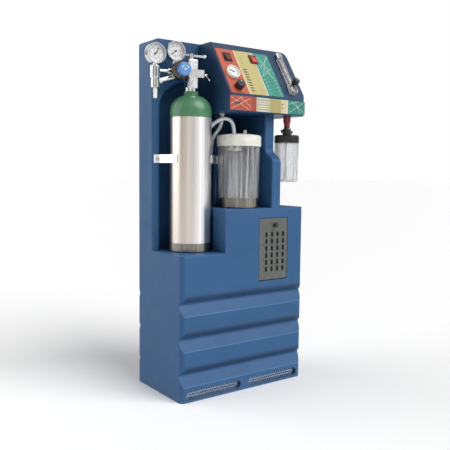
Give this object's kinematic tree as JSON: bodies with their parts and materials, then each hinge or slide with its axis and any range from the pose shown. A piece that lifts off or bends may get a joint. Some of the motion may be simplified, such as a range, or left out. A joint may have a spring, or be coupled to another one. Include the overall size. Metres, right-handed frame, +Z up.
{
  "type": "oxygen and suction station",
  "caption": "Free-standing moulded station with an oxygen cylinder and regulator, suction jar, humidifier bottle and a sloped control console with gauge, knobs and flowmeter.",
  "frame": {"origin": "middle of the rectangular footprint, on the floor", "axes": "+Z up, the front faces -Y, +X to the right as seen from the front"},
  "size_m": [0.4508, 0.2457, 0.94],
  "materials": {
    "housing": "satin, fine moulded texture",
    "plate_steel": "zinc plated",
    "grille_steel": "perforated, bright",
    "cover_blue": "satin",
    "door_grey": "fine texture",
    "foam_black": "open cell foam",
    "panel_print": "printed, satin",
    "black_plastic": "satin",
    "brown_plastic": "satin",
    "red_plastic": "satin",
    "white_plastic": "satin",
    "clear_plastic": "clear moulded",
    "lens_clear": "clear, polished",
    "chrome": "polished plating",
    "needle_black": "painted",
    "aluminium": "spun, half painted green",
    "dark_metal": "dark anodised",
    "blue_plastic": "satin",
    "boot_grey": "brushed",
    "hose_white": "translucent silicone",
    "seal_rubber": "matte",
    "maroon_plastic": "satin",
    "cast_metal": "die cast",
    "float_steel": "polished ball"
  },
  "bodies": {
    "station": {"base_plate": "plate_steel", "clamp_band": "plate_steel", "console_panel": "panel_print", "cylinder_body": "aluminium", "cylinder_boot": "boot_grey", "cylinder_valve": "chrome", "door_hinge_pin": "plate_steel", "filter_foam": "foam_black", "flowmeter_body": "clear_plastic", "flowmeter_cap": "chrome", "foot_grille_left": "grille_steel", "foot_grille_right": "grille_steel", "housing_shell": "housing", "humidifier_lid": "black_plastic", "humidifier_tube": "white_plastic", "jar_body": "clear_plastic", "jar_boot": "boot_grey", "jar_float_cage": "white_plastic", "jar_gasket": "seal_rubber", "jar_lid": "white_plastic", "line_gauge_case": "chrome", "line_gauge_lens": "lens_clear", "lip_panel": "panel_print", "mains_inlet": "black_plastic", "motor_case": "cast_metal", "outlet_barb": "white_plastic", "oxygen_outlet": "maroon_plastic", "pump_frame": "plate_steel", "pump_head": "cast_metal", "pump_mounts": "seal_rubber", "rear_cover": "cover_blue", "regulator_body": "chrome", "regulator_bonnet": "dark_metal", "rocker_bezels": "black_plastic", "screws": "plate_steel", "suction_hose": "hose_white", "tank_gauge_case": "chrome", "tank_gauge_lens": "lens_clear", "vacuum_gauge_case": "white_plastic", "vacuum_gauge_lens": "lens_clear", "vacuum_line": "hose_white", "vacuum_port": "white_plastic", "vacuum_valve": "plate_steel"},
    "door": {"filter_door": "door_grey", "door_knob": "black_plastic"},
    "power_rocker": {"power_rocker": "brown_plastic"},
    "red_rocker": {"red_rocker": "red_plastic"},
    "vacuum_needle": {"vacuum_gauge_needle": "needle_black"},
    "vacuum_knob": {"vacuum_knob": "black_plastic"},
    "flow_float": {"flowmeter_float": "float_steel"},
    "flow_knob": {"flow_knob": "black_plastic"},
    "wing_nut": {"wing_nut": "black_plastic"},
    "bottle": {"humidifier_bottle": "clear_plastic"},
    "jar_float": {"jar_float": "white_plastic"},
    "valve_handle": {"valve_handle": "chrome"},
    "regulator_knob": {"regulator_knob": "blue_plastic"},
    "yoke_screw": {"yoke_screw": "chrome"},
    "tank_needle": {"tank_gauge_needle": "needle_black"},
    "line_needle": {"line_gauge_needle": "needle_black"},
    "pump_rotor": {"pump_rotor": "plate_steel"}
  },
  "joints": [
    {"name": "door_hinge", "type": "hinge", "parent": "station", "child": "door", "pos_m": [0.0945, -0.1125, 0.298], "axis": [1, 0, 0], "range_deg": [0, 100]},
    {"name": "power_rocker_tilt", "type": "hinge", "parent": "station", "child": "power_rocker", "pos_m": [-0.023, -0.05108, 0.89963], "axis": [1, 0, 0], "range_deg": [0, 20]},
    {"name": "red_rocker_tilt", "type": "hinge", "parent": "station", "child": "red_rocker", "pos_m": [0.066, -0.04972, 0.90173], "axis": [1, 0, 0], "range_deg": [0, 20]},
    {"name": "vacuum_needle_turn", "type": "hinge", "parent": "station", "child": "vacuum_needle", "pos_m": [-0.027, -0.07957, 0.85375], "axis": [0, 0.8396, -0.5432], "range_deg": [-75, 195]},
    {"name": "vacuum_knob_turn", "type": "hinge", "parent": "station", "child": "vacuum_knob", "pos_m": [-0.025, -0.10456, 0.81512], "axis": [0, 0.8396, -0.5432], "range_deg": [0, 300]},
    {"name": "flow_float_rise", "type": "slide", "parent": "station", "child": "flow_float", "axis": [0, 0.5432, 0.8396], "range_m": [0, 0.07]},
    {"name": "flow_knob_turn", "type": "hinge", "parent": "station", "child": "flow_knob", "pos_m": [0.165, -0.11111, 0.83961], "axis": [0, -0.8396, 0.5432], "range_deg": [0, 720]},
    {"name": "wing_nut_turn", "type": "hinge", "parent": "station", "child": "wing_nut", "pos_m": [0.1615, -0.087, 0.707], "axis": [0, 0, 1], "range_deg": [0, 720]},
    {"name": "bottle_turn", "type": "hinge", "parent": "station", "child": "bottle", "pos_m": [0.1615, -0.087, 0.681], "axis": [0, 0, -1], "range_deg": [0, 540]},
    {"name": "jar_float_rise", "type": "slide", "parent": "station", "child": "jar_float", "axis": [0, 0, 1], "range_m": [0, 0.005]},
    {"name": "valve_handle_turn", "type": "hinge", "parent": "station", "child": "valve_handle", "pos_m": [-0.117, -0.018, 0.895], "axis": [0, 0, 1], "range_deg": [-120, 120]},
    {"name": "regulator_knob_turn", "type": "hinge", "parent": "station", "child": "regulator_knob", "pos_m": [-0.16108, -0.05289, 0.853], "axis": [0.1219, 0.9925, 0], "range_deg": [0, 300]},
    {"name": "yoke_screw_turn", "type": "hinge", "parent": "station", "child": "yoke_screw", "pos_m": [-0.0773, -0.02287, 0.848], "axis": [0.9925, -0.1219, 0], "range_deg": [0, 720]},
    {"name": "tank_needle_turn", "type": "hinge", "parent": "station", "child": "tank_needle", "pos_m": [-0.21824, -0.00557, 0.893], "axis": [0.1219, 0.9925, 0], "range_deg": [-170, 100]},
    {"name": "line_needle_turn", "type": "hinge", "parent": "station", "child": "line_needle", "pos_m": [-0.16315, -0.01233, 0.903], "axis": [0.1219, 0.9925, 0], "range_deg": [-10, 260]},
    {"name": "pump_spin", "type": "hinge", "parent": "station", "child": "pump_rotor", "pos_m": [0, 0, 0.072], "axis": [1, 0, 0], "continuous": true}
  ]
}
